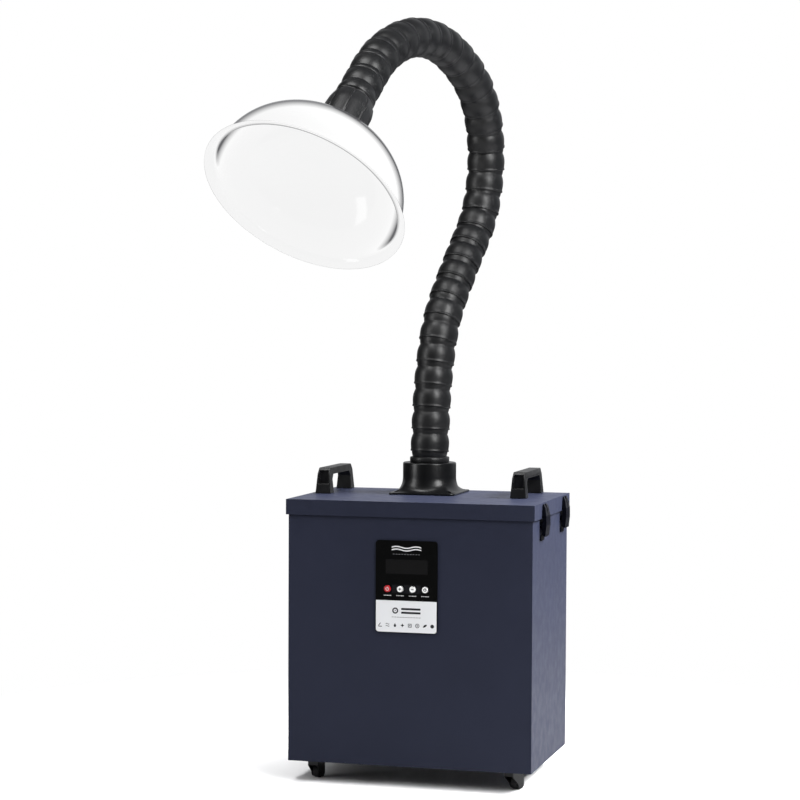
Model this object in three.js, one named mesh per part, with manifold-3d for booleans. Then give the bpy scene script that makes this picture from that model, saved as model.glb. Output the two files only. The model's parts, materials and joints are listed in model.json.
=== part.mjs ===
// Portable solder fume extractor: a steel cabinet on four swivel casters, with a lift-off lid that
// carries two bridge handles and a self-supporting arm of ball links, which ends in a clear dome hood.
// Millimetres, +Z up, the front faces -Y. The origin is the middle of the cabinet's flat underside.

import * as THREE from "three";
import { mergeVertices } from "three/addons/utils/BufferGeometryUtils.js";
import Module from "manifold-3d";

const wasm = await Module();
wasm.setup();

// ---------------------------------------------------------------- driving dimensions

const GAP = 0.3; // between pieces that touch
const SHEET = 2; // cabinet and lid sheet, with its coating

const CABINET = { width: 390, depth: 260, lidTop: 411, skirt: 24, overhang: 3.5, rimTop: 403 };
const DECK_Z = 160; // top of the rails that carry the fan deck
const FAN = { x: 0, y: -22, scroll: 84, growth: 24, wall: 3, height: 88, inletRadius: 62 };
const FILTER = { width: 372, front: -100, rear: 118, height: 168, padHeight: 20 };

const LID_CENTRE = { x: -17, y: 57 }; // the arm's axis, and the middle of what stands on the lid
const FLANGE = { side: 108, corner: 5, topRadius: 43, height: 50, plate: 3, straight: 23 };
const HANDLE = { left: -176, right: 145, length: 134, height: 41, foot: 26, top: 19, bar: 11, leg: 15 };

const PANEL = { x: -3, bottom: 209, width: 98.5, height: 142.5, proud: 3, corner: 5, margin: 5, depth: 18 };
const BUTTON = { z: 276.5, pitch: 20, radius: 5.5, proud: 1.8, length: 15 };
const INLET = { x: -140, z: 60, width: 31, height: 24, rim: 3, depth: 20 };
const GRILLE = { x: 0, z: 104, slot: 5, pitch: 11, rows: 8, width: 150 };

const LATCH = { ys: [-66, 87], bottom: 360, top: 409, width: 30 };
const CASTER = { frontX: 160, rearX: 146, y: 92, radius: 10.5, width: 11, trail: 7, height: 33, stem: 4 };
const UNDERSIDE = { x: 120, y: 60, groove: 8 }; // half sizes of the flat middle, and its groove's width

const LINKS = 30;
const PITCH = 35.7; // from ball centre to ball centre
const BALL = 27.7; // radius of a link's ball end
const CUP = 29.5; // radius of the cup that holds the next ball
const LIP = 30.7; // outer radius of a cup's lip
const BORE = 22; // radius of the air duct
const ARM_ROUND = 14; // sides of a link
const ARM_START_Z = 480;
// The bend of the arm, as it stays when it is parked over the bench in front of the cabinet.
const ARM_ROUTE = [
  [LID_CENTRE.x, LID_CENTRE.y, ARM_START_Z],
  [-14, 64, 586],
  [-5, 84, 691],
  [13, 137, 782],
  [32, 192, 871],
  [40, 198, 976],
  [35, 145, 1067],
  [7, 61, 1126],
  [-20, -41, 1134],
  [-45, -138, 1097],
  [-60, -219, 1029],
];

const HOOD = { rim: 157.5, dome: 145, rise: 132, lip: 12, wall: 2.5, neck: 31.5, top: 146, reach: 208 };
const HOOD_AXIS = new THREE.Vector3(-0.199, -0.618, -0.761).normalize(); // from the last ball to the mouth

// ---------------------------------------------------------------- materials

const finish = (color, roughness, metalness = 0) =>
  new THREE.MeshStandardMaterial({ color, roughness, metalness });
const MATERIALS = {
  powderCoat: finish(0x3a4050, 0.55, 0.3),
  satinBlack: finish(0x26272a, 0.45),
  glossBlack: finish(0x17181a, 0.22),
  clearPlastic: new THREE.MeshStandardMaterial({
    color: 0xe8edf0,
    roughness: 0.08,
    transparent: true,
    opacity: 0.4,
  }),
  panelBlack: finish(0x141416, 0.3),
  redButton: finish(0xc4181f, 0.35),
  whiteButton: finish(0xf2f2ef, 0.35),
  tread: finish(0x1a1a1b, 0.7),
  fanPlastic: finish(0x2b2d30, 0.5),
  zincSteel: finish(0xa9adb0, 0.35, 0.9),
  filterPaper: finish(0xe9e7df, 0.9),
  padFoam: finish(0x8f959a, 0.95),
};

// ---------------------------------------------------------------- solids

// A closed geometry as a manifold-3d solid, turned to face out.
function toSolid(geometry) {
  const bare = geometry.index ? geometry.toNonIndexed() : geometry.clone();
  const points = new THREE.BufferGeometry();
  points.setAttribute("position", bare.getAttribute("position"));
  const merged = mergeVertices(points, 1e-4);
  const triVerts = new Uint32Array(merged.index.array);
  const vertProperties = merged.attributes.position.array;
  const made = new wasm.Manifold(new wasm.Mesh({ numProp: 3, vertProperties, triVerts }));
  if (made.volume() > 0) return made;
  for (let i = 0; i < triVerts.length; i += 3) {
    [triVerts[i + 1], triVerts[i + 2]] = [triVerts[i + 2], triVerts[i + 1]];
  }
  return new wasm.Manifold(new wasm.Mesh({ numProp: 3, vertProperties, triVerts }));
}

function toGeometry(made) {
  const { vertProperties, triVerts } = made.getMesh();
  const geometry = new THREE.BufferGeometry();
  geometry.setAttribute("position", new THREE.BufferAttribute(vertProperties, 3));
  geometry.setIndex(new THREE.BufferAttribute(triVerts, 1));
  geometry.computeVertexNormals();
  return geometry;
}

const join = (...solids) => solids.reduce((all, one) => all.add(one));
const cut = (first, ...others) => others.reduce((left, one) => left.subtract(one), first);

// A block between two corners.
function block(low, high) {
  const size = high.map((v, i) => v - low[i]);
  const geometry = new THREE.BoxGeometry(...size);
  geometry.translate(...low.map((v, i) => v + size[i] / 2));
  return toSolid(geometry);
}

// A round bar along +Z from z0 to z1.
function bar(radius, z0, z1, x = 0, y = 0, sides = 24) {
  const geometry = new THREE.CylinderGeometry(radius, radius, z1 - z0, sides);
  geometry.rotateX(Math.PI / 2).translate(x, y, (z0 + z1) / 2);
  return toSolid(geometry);
}

// A ring turned about +Z from a closed outline of [radius, z] points.
function turned(outline, sides) {
  const points = [...outline, outline[0]].map(([r, z]) => new THREE.Vector2(r, z));
  const geometry = new THREE.LatheGeometry(points, sides);
  geometry.rotateX(Math.PI / 2);
  return toSolid(geometry);
}

const shapeOf = (points) => new THREE.Shape(points.map(([x, y]) => new THREE.Vector2(x, y)));

// A flat outline in X and Y, raised from z0 to z1.
function raised(shape, z0, z1, curveSegments = 6) {
  const geometry = new THREE.ExtrudeGeometry(shape, {
    depth: z1 - z0,
    bevelEnabled: false,
    curveSegments,
  });
  return toSolid(geometry.translate(0, 0, z0));
}

function roundedRectangle(width, height, radius) {
  const [w, h, r] = [width / 2, height / 2, radius];
  const shape = new THREE.Shape();
  shape.moveTo(-w + r, -h);
  shape.lineTo(w - r, -h);
  shape.absarc(w - r, -h + r, r, -Math.PI / 2, 0);
  shape.lineTo(w, h - r);
  shape.absarc(w - r, h - r, r, 0, Math.PI / 2);
  shape.lineTo(-w + r, h);
  shape.absarc(-w + r, h - r, r, Math.PI / 2, Math.PI);
  shape.lineTo(-w, -h + r);
  shape.absarc(-w + r, -h + r, r, Math.PI, 1.5 * Math.PI);
  return shape;
}

// A skin through rings of equal point counts; the last ring closes onto the first.
function lofted(rings) {
  const count = rings[0].length;
  const positions = rings.flat(2);
  const index = [];
  for (let i = 0; i < rings.length; i++) {
    const next = (i + 1) % rings.length;
    for (let j = 0; j < count; j++) {
      const k = (j + 1) % count;
      const [a, b, c, d] = [i * count + j, i * count + k, next * count + k, next * count + j];
      index.push(a, b, c, a, c, d);
    }
  }
  const geometry = new THREE.BufferGeometry();
  geometry.setAttribute("position", new THREE.Float32BufferAttribute(positions, 3));
  geometry.setIndex(index);
  return toSolid(geometry);
}

// Turns a solid drawn with its outline in X and Y so that the outline stands in X and Z,
// and its thickness runs along Y from y0.
const stood = (made) => made.rotate([90, 0, 0]);

const root = new THREE.Group();

function add(name, made, material, place = root) {
  const mesh = new THREE.Mesh(toGeometry(made), material);
  mesh.name = name;
  place.add(mesh);
  return mesh;
}

// ---------------------------------------------------------------- cabinet

const halfWidth = CABINET.width / 2;
const halfDepth = CABINET.depth / 2;
const casterPlaces = [
  { name: "front_left", x: -CASTER.frontX, y: -CASTER.y, turn: 85 },
  { name: "front_right", x: CASTER.frontX, y: -CASTER.y, turn: 68 },
  { name: "rear_left", x: -CASTER.rearX, y: CASTER.y, turn: 100 },
  { name: "rear_right", x: CASTER.rearX, y: CASTER.y, turn: 165 },
];
const buttonPlaces = [
  { name: "power_button", x: -1.5, material: MATERIALS.redButton },
  { name: "speed_up_button", x: -0.5, material: MATERIALS.whiteButton },
  { name: "speed_down_button", x: 0.5, material: MATERIALS.whiteButton },
  { name: "timer_button", x: 1.5, material: MATERIALS.whiteButton },
];

// An open steel box with a turned-in rim, rails for the fan deck, and its cut-outs.
function cabinetShell() {
  const rimWidth = 12;
  const railWidth = 10;
  const [w, d, t] = [halfWidth, halfDepth, SHEET];
  const outside = block([-w, -d, 0], [w, d, CABINET.rimTop]);
  const inside = block([-w + t, -d + t, t], [w - t, d - t, CABINET.rimTop - t]);
  const mouth = block(
    [-w + rimWidth, -d + rimWidth, CABINET.rimTop - 2 * t],
    [w - rimWidth, d - rimWidth, CABINET.rimTop + t],
  );
  const rails = [-1, 1].map((side) => {
    const edge = side * (w - t);
    const inner = side * (w - t - railWidth);
    return block([Math.min(edge, inner), -d + t, DECK_Z - t], [Math.max(edge, inner), d - t, DECK_Z]);
  });
  const edge = PANEL.margin - 1;
  const panelHole = block(
    [PANEL.x - PANEL.width / 2 + edge, -d - 1, PANEL.bottom + edge],
    [PANEL.x + PANEL.width / 2 - edge, -d + t + 1, PANEL.bottom + PANEL.height - edge],
  );
  const slots = Array.from({ length: GRILLE.rows }, (_, row) => {
    const z = GRILLE.z + (row - (GRILLE.rows - 1) / 2) * GRILLE.pitch;
    return block(
      [GRILLE.x - GRILLE.width / 2, d - t - 1, z - GRILLE.slot / 2],
      [GRILLE.x + GRILLE.width / 2, d + 1, z + GRILLE.slot / 2],
    );
  });
  const inletHole = block(
    [INLET.x - INLET.width / 2, d - t - 1, INLET.z - INLET.height / 2],
    [INLET.x + INLET.width / 2, d + 1, INLET.z + INLET.height / 2],
  );
  const stemHoles = casterPlaces.map(({ x, y }) => bar(CASTER.stem + 0.8, -1, t + 1, x, y, 12));
  // A shallow groove frames the flat middle of the underside.
  const [flatX, flatY] = [UNDERSIDE.x, UNDERSIDE.y];
  const [grooveX, grooveY] = [flatX + UNDERSIDE.groove, flatY + UNDERSIDE.groove];
  const groove = cut(
    block([-grooveX, -grooveY, -1], [grooveX, grooveY, t / 2]),
    block([-flatX, -flatY, -2], [flatX, flatY, t]),
  );
  return join(
    cut(outside, inside, mouth, panelHole, inletHole, groove, ...slots, ...stemHoles),
    ...rails,
  );
}
add("cabinet_shell", cabinetShell(), MATERIALS.powderCoat);

// An appliance inlet, recessed for its plug.
function powerInlet() {
  const { x, z, width, height, rim, depth } = INLET;
  const centred = (w, h, y0, y1) => block([x - w / 2, y0, z - h / 2], [x + w / 2, y1, z + h / 2]);
  const face = centred(width + 5, height + 6, halfDepth + GAP, halfDepth + GAP + 2);
  const body = centred(width - 2 * GAP, height - 2 * GAP, halfDepth - depth, halfDepth + GAP + 1);
  const recess = centred(width - 2 * rim, height - 2 * rim - 1, halfDepth - depth + 4, halfDepth + 10);
  return cut(join(face, body), recess);
}
add("power_inlet", powerInlet(), MATERIALS.satinBlack);

// ---------------------------------------------------------------- control panel

// A plate that overlaps the cut-out, with a body behind it that the buttons slide in.
function controlPanel() {
  const middle = PANEL.bottom + PANEL.height / 2;
  const plate = stood(
    raised(roundedRectangle(PANEL.width, PANEL.height, PANEL.corner), 0, PANEL.proud - GAP, 4),
  ).translate([PANEL.x, -halfDepth - GAP, middle]);
  const { margin, depth } = PANEL;
  const body = block(
    [PANEL.x - PANEL.width / 2 + margin, -halfDepth - 1, PANEL.bottom + margin],
    [PANEL.x + PANEL.width / 2 - margin, -halfDepth + depth, PANEL.bottom + PANEL.height - margin],
  );
  const wells = buttonPlaces.map(({ x }) =>
    stood(bar(BUTTON.radius + 0.5, -14, 20, 0, 0, 16)).translate([
      PANEL.x + x * BUTTON.pitch,
      -halfDepth,
      BUTTON.z,
    ]),
  );
  return cut(join(plate, body), ...wells);
}
add("control_panel", controlPanel(), MATERIALS.panelBlack);

buttonPlaces.forEach(({ name, x, material }) => {
  const place = new THREE.Group();
  place.position.set(PANEL.x + x * BUTTON.pitch, -halfDepth - PANEL.proud - BUTTON.proud, BUTTON.z);
  place.rotation.x = -Math.PI / 2;
  root.add(place);
  const edge = 0.8;
  const outline = [
    [0.01, 0],
    [BUTTON.radius - edge, 0],
    [BUTTON.radius, edge],
    [BUTTON.radius, BUTTON.length],
    [0.01, BUTTON.length],
  ];
  add(name, turned(outline, 16), material, place);
});

// ---------------------------------------------------------------- fan and filters

const SCROLL_STEPS = 24;

// The fan scroll's wall, as a spiral that opens into a straight outlet towards the rear.
function scrollOutline(inset) {
  const points = [];
  for (let i = 0; i <= SCROLL_STEPS; i++) {
    const turn = i / SCROLL_STEPS;
    const angle = turn * 1.5 * Math.PI + Math.PI / 2;
    const radius = FAN.scroll + FAN.growth * turn - inset;
    points.push([radius * Math.cos(angle), radius * Math.sin(angle)]);
  }
  const outletEnd = halfDepth - SHEET - 1 - FAN.y + inset;
  const right = FAN.scroll + FAN.growth - inset;
  points.push([right, outletEnd], [inset, outletEnd]);
  return shapeOf(points);
}

// A deck that seals the lower chamber, with the fan scroll and the motor's fixed post hung under it.
function fanDeck() {
  const clear = 2;
  const top = DECK_Z + GAP + SHEET;
  const deck = block(
    [-halfWidth + SHEET + clear, -halfDepth + SHEET + clear, DECK_Z + GAP],
    [halfWidth - SHEET - clear, halfDepth - SHEET - clear, top],
  );
  const inlet = bar(FAN.inletRadius, DECK_Z - 10, top + 1, FAN.x, FAN.y, 32);
  const low = DECK_Z - FAN.height;
  const outside = raised(scrollOutline(0), low, DECK_Z + GAP + 1).translate([FAN.x, FAN.y, 0]);
  const inside = raised(scrollOutline(FAN.wall), low + FAN.wall, DECK_Z + GAP).translate([
    FAN.x,
    FAN.y,
    0,
  ]);
  const post = bar(24, low + 1, low + 30, FAN.x, FAN.y);
  return join(cut(join(deck, outside), inside, inlet), post);
}
add("fan_deck", fanDeck(), MATERIALS.zincSteel);

// A rotor cup over the motor post, with swept blades between a back plate and a front ring.
function impeller() {
  const bladeCount = 9;
  const [hub, outer, height] = [31, 74, 50];
  const cup = turned(
    [
      [hub - 3, 0],
      [hub, 0],
      [hub, 36],
      [0.01, 36],
      [0.01, 33],
      [hub - 3, 33],
    ],
    20,
  );
  const back = turned(
    [
      [hub - 1, 0],
      [outer, 0],
      [outer, 2.5],
      [hub - 1, 2.5],
    ],
    28,
  );
  const front = turned(
    [
      [54, height],
      [outer, height - 8],
      [outer, height - 5.5],
      [54, height + 2.5],
    ],
    28,
  );
  const sweep = -48;
  const blades = Array.from({ length: bladeCount }, (_, i) =>
    block([-1, 0, 1], [1, 42, height + 2])
      .rotate([0, 0, sweep])
      .translate([45, 0, 0])
      .rotate([0, 0, (360 / bladeCount) * i]),
  );
  const bladeRing = turned(
    [
      [hub - 1, 0.5],
      [outer - 0.5, 0.5],
      [outer - 0.5, height - 7],
      [hub - 1, height + 2],
    ],
    28,
  );
  const trimmed = join(...blades).intersect(bladeRing);
  return join(cup, back, front, trimmed).translate([FAN.x, FAN.y, DECK_Z - FAN.height + 8]);
}
add("impeller", impeller(), MATERIALS.fanPlastic);

// A framed cartridge of pleated paper and carbon, recessed on its upper side.
const filterBottom = DECK_Z + SHEET + 2 * GAP;
function mainFilter() {
  const { front, rear, height } = FILTER;
  const [w, frame] = [FILTER.width / 2, 12];
  const body = block([-w, front, filterBottom], [w, rear, filterBottom + height]);
  const recess = block(
    [-w + frame, front + frame, filterBottom + height - 6],
    [w - frame, rear - frame, filterBottom + height + 1],
  );
  return cut(body, recess);
}
add("main_filter", mainFilter(), MATERIALS.filterPaper);

const padBottom = filterBottom + FILTER.height + GAP;
add(
  "prefilter_pad",
  block(
    [-FILTER.width / 2 + 2, FILTER.front + 2, padBottom],
    [FILTER.width / 2 - 2, FILTER.rear - 2, padBottom + FILTER.padHeight],
  ),
  MATERIALS.padFoam,
);

// ---------------------------------------------------------------- lid and what stands on it

// A shallow tray, upside down, whose skirt reaches over the cabinet's walls.
function lid() {
  const [w, d] = [halfWidth + CABINET.overhang, halfDepth + CABINET.overhang];
  const outside = block([-w, -d, CABINET.lidTop - CABINET.skirt], [w, d, CABINET.lidTop]);
  const inside = block(
    [-w + SHEET, -d + SHEET, CABINET.lidTop - CABINET.skirt - 1],
    [w - SHEET, d - SHEET, CABINET.lidTop - SHEET],
  );
  const duct = bar(34, CABINET.lidTop - 10, CABINET.lidTop + 1, LID_CENTRE.x, LID_CENTRE.y, 32);
  return cut(outside, inside, duct);
}
add("lid", lid(), MATERIALS.powderCoat);

const FLANGE_POINTS = 32;
const FLANGE_STEPS = 4;

// One level of the flange: a circle at blend 0, a rounded square at blend 1.
function flangeRing(blend, radius, halfSide, corner, z) {
  return Array.from({ length: FLANGE_POINTS }, (_, i) => {
    const angle = ((i + 0.5) / FLANGE_POINTS) * 2 * Math.PI;
    const [c, s] = [Math.cos(angle), Math.sin(angle)];
    const flat = halfSide - corner;
    // the ray from the centre meets a side of the square, or the arc at its corner
    let reach = halfSide / Math.max(Math.abs(c), Math.abs(s));
    const [x, y] = [Math.abs(c) * reach, Math.abs(s) * reach];
    if (x > flat && y > flat) {
      const along = flat * (Math.abs(c) + Math.abs(s));
      reach = along + Math.sqrt(along * along - 2 * flat * flat + corner * corner);
    }
    const r = radius + (reach - radius) * blend;
    return [r * c, r * s, z];
  });
}

// A round tube that flares in a concave sweep to a square plate, with a socket for the arm.
function armFlange() {
  const { side, corner, topRadius, height, plate, straight } = FLANGE;
  const sweep = height - plate - straight;
  const outer = [];
  const inner = [];
  const wall = 4;
  for (let i = 0; i <= FLANGE_STEPS; i++) {
    const angle = (i / FLANGE_STEPS) * (Math.PI / 2);
    const blend = 1 - Math.sin(angle);
    const z = plate + sweep * (1 - Math.cos(angle));
    outer.push(flangeRing(blend, topRadius, side / 2, corner, z));
    if (i >= 2) inner.push(flangeRing(blend, topRadius - wall, side / 2 - wall - 3, corner, z - wall));
  }
  outer.push(flangeRing(0, topRadius, side / 2, corner, height - 1.5));
  outer.push(flangeRing(0, topRadius - 1.5, side / 2, corner, height));
  const socket = BALL + 0.4;
  const rings = [
    flangeRing(1, topRadius, side / 2, corner, 0),
    ...outer,
    flangeRing(0, socket, side / 2, corner, height),
    flangeRing(0, socket, side / 2, corner, height - wall),
    flangeRing(0, topRadius - wall, side / 2, corner, height - wall),
    ...inner.reverse(),
    flangeRing(0, topRadius - wall, side / 2, corner, 0),
  ];
  const holeReach = side / 2 - 11;
  const holes = [-1, 1].flatMap((sx) =>
    [-1, 1].map((sy) => bar(2.6, -1, 20, sx * holeReach, sy * holeReach, 12)),
  );
  return cut(lofted(rings), ...holes);
}
const flangePlace = new THREE.Group();
flangePlace.position.set(LID_CENTRE.x, LID_CENTRE.y, CABINET.lidTop + GAP);
root.add(flangePlace);
add("arm_flange", armFlange(), MATERIALS.glossBlack, flangePlace);

// A bridge handle that runs front to back, narrower at its bar than at its feet.
function handle() {
  const { length, height, foot, top, bar: barHeight, leg } = HANDLE;
  const half = length / 2;
  const rise = 9;
  const outline = shapeOf([
    [-half, 0],
    [-half + leg + 4, 0],
    [-half + leg + 2, height - barHeight - 8],
    [-half + leg + 9, height - barHeight],
    [half - leg - 9, height - barHeight],
    [half - leg - 2, height - barHeight - 8],
    [half - leg - 4, 0],
    [half, 0],
    [half - 3, height - rise],
    [half - 10, height],
    [-half + 10, height],
    [-half + 3, height - rise],
  ]);
  const across = raised(outline, -foot / 2, foot / 2).rotate([90, 0, 90]);
  const wall = 3;
  const pocketDepth = 11;
  const pockets = [-1, 1].map((end) => {
    const ys = [end * half, end * (half - pocketDepth)];
    return block(
      [-foot / 2 + wall, Math.min(...ys), leg],
      [foot / 2 - wall, Math.max(...ys), height - 1.5 * wall],
    );
  });
  return cut(across, ...pockets).warp((point) => {
    point[0] *= 1 - (1 - top / foot) * (point[2] / height);
  });
}
[
  ["handle_left", HANDLE.left],
  ["handle_right", HANDLE.right],
].forEach(([name, x]) => {
  const place = new THREE.Group();
  place.position.set(x, LID_CENTRE.y - 2, CABINET.lidTop + GAP);
  root.add(place);
  add(name, handle(), MATERIALS.satinBlack, place);
});

// ---------------------------------------------------------------- draw latches

// A bulged lever with a forked claw that lies over the lid's skirt; out is away from the cabinet.
function latchLever() {
  const { bottom, top, width } = LATCH;
  const seam = CABINET.lidTop - CABINET.skirt;
  const profile = shapeOf([
    [2.8, bottom + 3],
    [6, bottom],
    [9, bottom - 1],
    [9.4, bottom + 4],
    [10.8, bottom + 16],
    [10.6, seam + 4],
    [8.2, top - 6],
    [5.4, top],
    [4.2, top],
    [4.2, seam - 4],
    [2.8, seam - 8],
  ]);
  const lever = stood(raised(profile, -width / 2, width / 2));
  const notch = raised(
    shapeOf([
      [-5, top + 2],
      [0, seam + 3],
      [5, top + 2],
    ]),
    0,
    20,
  ).rotate([90, 0, 90]);
  const shoulders = [-1, 1].map((side) =>
    raised(
      shapeOf([
        [side * (width / 2 + 1), seam],
        [side * (width / 2 - 4), top + 2],
        [side * (width / 2 + 1), top + 2],
      ]),
      0,
      20,
    ).rotate([90, 0, 90]),
  );
  return cut(lever, notch, ...shoulders);
}
[-1, 1].forEach((side) =>
  LATCH.ys.forEach((y, i) => {
    const place = new THREE.Group();
    place.position.set(side * halfWidth, y, 0);
    place.rotation.z = side > 0 ? 0 : Math.PI;
    root.add(place);
    const name = `latch_${i === 0 ? "front" : "rear"}_${side > 0 ? "right" : "left"}`;
    add(name, latchLever(), MATERIALS.satinBlack, place);
  }),
);

// ---------------------------------------------------------------- casters

const axleZ = -CASTER.height + CASTER.radius;

// A hooded fork that trails behind its stem, with the axle pin through its cheeks.
function casterFork() {
  const cheekWidth = CASTER.width + 6;
  const crown = 15;
  const side = new THREE.Shape();
  side.moveTo(-crown, -2);
  side.lineTo(crown, -2);
  side.lineTo(crown, -9);
  side.absarc(CASTER.trail, axleZ - 1, 8, 0.1, -Math.PI, true);
  side.lineTo(-crown, -11);
  const body = stood(raised(side, -cheekWidth / 2, cheekWidth / 2, 4));
  const slot = block(
    [-crown - 1, -CASTER.width / 2 - 0.6, -40],
    [crown + 8, CASTER.width / 2 + 0.6, axleZ + CASTER.radius + 1.5],
  );
  const crownDisc = bar(crown, -5, -0.6, 0, 0, 16);
  const stem = bar(CASTER.stem, -2, 7, 0, 0, 10);
  const pin = stood(bar(2, -cheekWidth / 2 + 1, cheekWidth / 2 - 1, 0, 0, 10)).translate([
    CASTER.trail,
    0,
    axleZ,
  ]);
  return join(cut(join(body, crownDisc), slot), stem, pin);
}

function casterWheel() {
  const [r, w] = [CASTER.radius, CASTER.width / 2];
  const outline = [
    [2.7, -w],
    [r - 1.5, -w],
    [r, -w + 2],
    [r, w - 2],
    [r - 1.5, w],
    [2.7, w],
  ];
  return stood(turned(outline, 20)).translate([CASTER.trail, 0, axleZ]);
}
casterPlaces.forEach(({ name, x, y, turn }) => {
  const place = new THREE.Group();
  place.position.set(x, y, 0);
  place.rotation.z = THREE.MathUtils.degToRad(turn);
  root.add(place);
  add(`caster_fork_${name}`, casterFork(), MATERIALS.glossBlack, place);
  add(`caster_wheel_${name}`, casterWheel(), MATERIALS.tread, place);
});

// ---------------------------------------------------------------- the arm

// A point on a sphere about the axis, as [radius, height].
const onSphere = (radius, height, centre = 0) => [
  Math.sqrt(radius * radius - height * height),
  centre + height,
];

// The outline of a ball end whose centre is at the given height, from its neck to its bore.
const ballEnd = (centre, neckDrop = 8.6) => [
  onSphere(BALL, -neckDrop, centre),
  onSphere(BALL, 0, centre),
  onSphere(BALL, 14.5, centre),
  [BORE, centre + 14.5],
];

// The inside of a cup about the origin, from its bore to its lip.
const cupInside = [onSphere(CUP, 19.3), onSphere(CUP, 9), [CUP, -1.5]];

// A link: a cup over the ball below, a barrel, and a ball for the next cup.
const linkSolid = turned(
  [
    [LIP, -1.5],
    [LIP, 12],
    [LIP - 1.8, PITCH - 10.6],
    ...ballEnd(PITCH),
    ...cupInside,
  ],
  ARM_ROUND,
);

// Ball centres a pitch apart along the route.
function ballCentres() {
  const curve = new THREE.CatmullRomCurve3(ARM_ROUTE.map((p) => new THREE.Vector3(...p)));
  const centres = [curve.getPoint(0)];
  const step = 1 / 20000;
  for (let t = 0; centres.length <= LINKS; t += step) {
    const point = curve.getPoint(Math.min(t, 1));
    const last = centres[centres.length - 1];
    if (t > 1) point.addScaledVector(curve.getTangent(1), (t - 1) * curve.getLength());
    if (point.distanceTo(last) >= PITCH) {
      const along = point.sub(last).setLength(PITCH);
      centres.push(last.clone().add(along));
    }
  }
  return centres;
}
const centres = ballCentres();
const UP = new THREE.Vector3(0, 0, 1);

// The turning ring that the arm stands on, held in the flange's socket by a bead.
function swivelCollar() {
  const floor = CABINET.lidTop + GAP + FLANGE.height + GAP;
  const under = floor - 4 - 2 * GAP;
  const low = under - 24;
  const neckDrop = 9.1; // a little deeper than a link's, so that the first link clears the ring
  return turned(
    [
      [BORE, low],
      [BALL - 1, low],
      [BALL - 1, under - 7],
      [BALL + 3, under - 4],
      [BALL + 3, under],
      [BALL - 0.4, under],
      [BALL - 0.4, floor],
      [LIP + 1, floor],
      [LIP + 1, ARM_START_Z - neckDrop - 0.8],
      ...ballEnd(ARM_START_Z, neckDrop),
    ],
    24,
  ).translate([LID_CENTRE.x, LID_CENTRE.y, 0]);
}
add("swivel_collar", swivelCollar(), MATERIALS.satinBlack);

for (let i = 0; i < LINKS; i++) {
  const place = new THREE.Group();
  const along = centres[i + 1].clone().sub(centres[i]).normalize();
  place.position.copy(centres[i]);
  place.quaternion.setFromUnitVectors(UP, along);
  root.add(place);
  add(`arm_link_${String(i + 1).padStart(2, "0")}`, linkSolid, MATERIALS.satinBlack, place);
}

// ---------------------------------------------------------------- the hood

const hoodPlace = new THREE.Group();
hoodPlace.position.copy(centres[LINKS]);
hoodPlace.quaternion.setFromUnitVectors(UP, HOOD_AXIS);
root.add(hoodPlace);

const apex = HOOD.reach - HOOD.rise; // where the dome would close along the hood's axis

// A cup for the last ball, a grip, and a flared seat for the dome and its neck.
function hoodCollar() {
  const bore = HOOD.neck + 2 * GAP;
  return turned(
    [
      [LIP, -1.5],
      [LIP, 9],
      [LIP - 1.5, 12],
      [LIP + 3.5, 24],
      [LIP + 5, 37],
      [LIP + 5, apex - 12],
      [LIP + 13, apex - 6],
      [LIP + 12, apex + 4.6],
      [bore, apex + 2.4],
      [bore, HOOD.reach - HOOD.top - GAP],
      [HOOD.neck - HOOD.wall, HOOD.reach - HOOD.top - GAP],
      [BORE, 32],
      ...cupInside,
    ],
    24,
  );
}
add("hood_collar", hoodCollar(), MATERIALS.satinBlack, hoodPlace);

// A thin dome with a flared rim, open below, whose neck plugs into the collar.
function hoodDome() {
  const steps = 5;
  const arc = (inset) => {
    const radius = HOOD.dome - inset;
    const rise = HOOD.rise - HOOD.lip - inset;
    const last = Math.acos((HOOD.neck - inset) / radius);
    return Array.from({ length: steps + 1 }, (_, i) => {
      const angle = (i / steps) * last;
      return [radius * Math.cos(angle), HOOD.lip + rise * Math.sin(angle)];
    });
  };
  const outline = [
    [HOOD.rim, 0],
    [HOOD.rim - 1, 3.5],
    [HOOD.dome + 4, 6.5],
    ...arc(0),
    [HOOD.neck, HOOD.top],
    [HOOD.neck - HOOD.wall, HOOD.top],
    ...arc(HOOD.wall).reverse(),
    [HOOD.dome + 2, 4],
    [HOOD.rim - HOOD.wall, 0],
  ];
  return turned(
    outline.map(([r, up]) => [r, HOOD.reach - up]),
    32,
  );
}
add("hood_dome", hoodDome(), MATERIALS.clearPlastic, hoodPlace);

export default root;
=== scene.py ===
"""The looks of a portable solder fume extractor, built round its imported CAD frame.

Lengths are in millimetres until a piece is made, in the CAD's own frame: +Z up, the front faces -Y.
"""

import json
import math

import bmesh
import bpy
from mathutils import Matrix, Vector


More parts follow.
